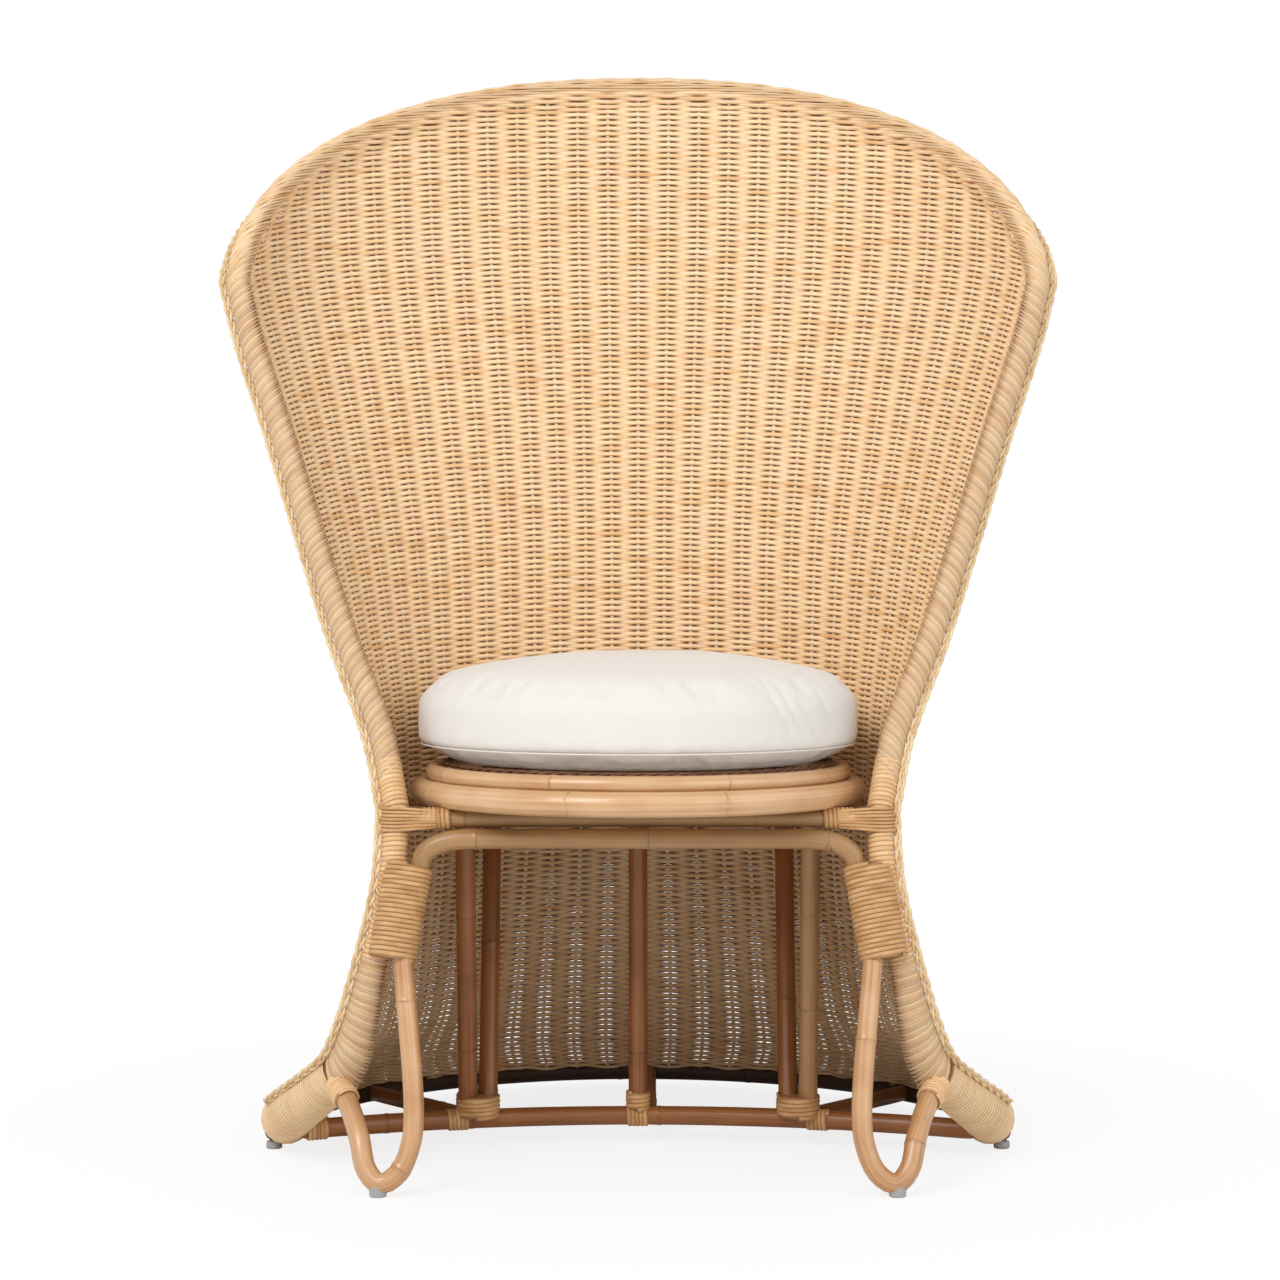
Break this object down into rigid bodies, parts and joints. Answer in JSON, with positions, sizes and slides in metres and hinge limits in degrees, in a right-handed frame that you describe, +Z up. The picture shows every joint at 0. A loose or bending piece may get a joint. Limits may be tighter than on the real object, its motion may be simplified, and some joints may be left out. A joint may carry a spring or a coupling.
{
  "type": "peacock chair",
  "caption": "Armless peacock chair: tall fan back and flared skirt woven in one rattan shell, round seat on bent poles, loose round cushion.",
  "frame": {"origin": "on the floor under the middle of the chair's box", "axes": "+Z up, the chair faces -Y, +X is to the right of someone who looks at its front"},
  "size_m": [0.93, 0.658, 1.219],
  "materials": {
    "rattan_weave": "natural rattan core strands, satin",
    "rattan_wrap": "wound rattan peel, satin",
    "rattan_pole": "lacquered rattan pole, gloss",
    "rattan_dark": "lacquered rattan, darker, gloss",
    "glide_plastic": "moulded, matt",
    "cushion_cotton": "white cotton cover over foam"
  },
  "bodies": {
    "chair": {"woven_back": "rattan_weave", "woven_skirt": "rattan_weave", "top_rim_pole": "rattan_wrap", "left_edge_pole": "rattan_wrap", "right_edge_pole": "rattan_wrap", "left_edge_braid": "rattan_weave", "right_edge_braid": "rattan_weave", "rim_braid": "rattan_weave", "left_foot_wrap": "rattan_wrap", "right_foot_wrap": "rattan_wrap", "base_hoop": "rattan_dark", "base_rail": "rattan_pole", "base_braid": "rattan_weave", "waist_hoop": "rattan_pole", "lower_seat_ring": "rattan_pole", "upper_seat_ring": "rattan_pole", "seat_deck": "rattan_weave", "deck_braid": "rattan_dark", "front_bearer": "rattan_pole", "rear_bearer": "rattan_pole", "spine_bearer": "rattan_pole", "seat_cross_rail": "rattan_pole", "left_rail_collar": "rattan_wrap", "right_rail_collar": "rattan_wrap", "seat_arch": "rattan_pole", "left_front_upright": "rattan_pole", "right_front_upright": "rattan_pole", "left_rear_upright": "rattan_pole", "right_rear_upright": "rattan_pole", "centre_upright": "rattan_pole", "left_leg_loop": "rattan_pole", "right_leg_loop": "rattan_pole", "left_post_binding": "rattan_wrap", "right_post_binding": "rattan_wrap", "left_limb_binding": "rattan_wrap", "right_limb_binding": "rattan_wrap", "left_pair_binding": "rattan_wrap", "right_pair_binding": "rattan_wrap", "centre_binding": "rattan_wrap", "centre_stretcher": "rattan_dark", "left_brace": "rattan_dark", "right_brace": "rattan_dark", "left_leg_glide": "glide_plastic", "right_leg_glide": "glide_plastic", "left_foot_glide": "glide_plastic", "right_foot_glide": "glide_plastic", "left_rear_glide": "glide_plastic", "right_rear_glide": "glide_plastic"},
    "cushion": {"seat_cushion": "cushion_cotton"}
  },
  "joints": [
    {"name": "cushion_lift", "type": "slide", "parent": "chair", "child": "cushion", "axis": [0, 0, 1], "range_m": [0, 0.85]}
  ]
}
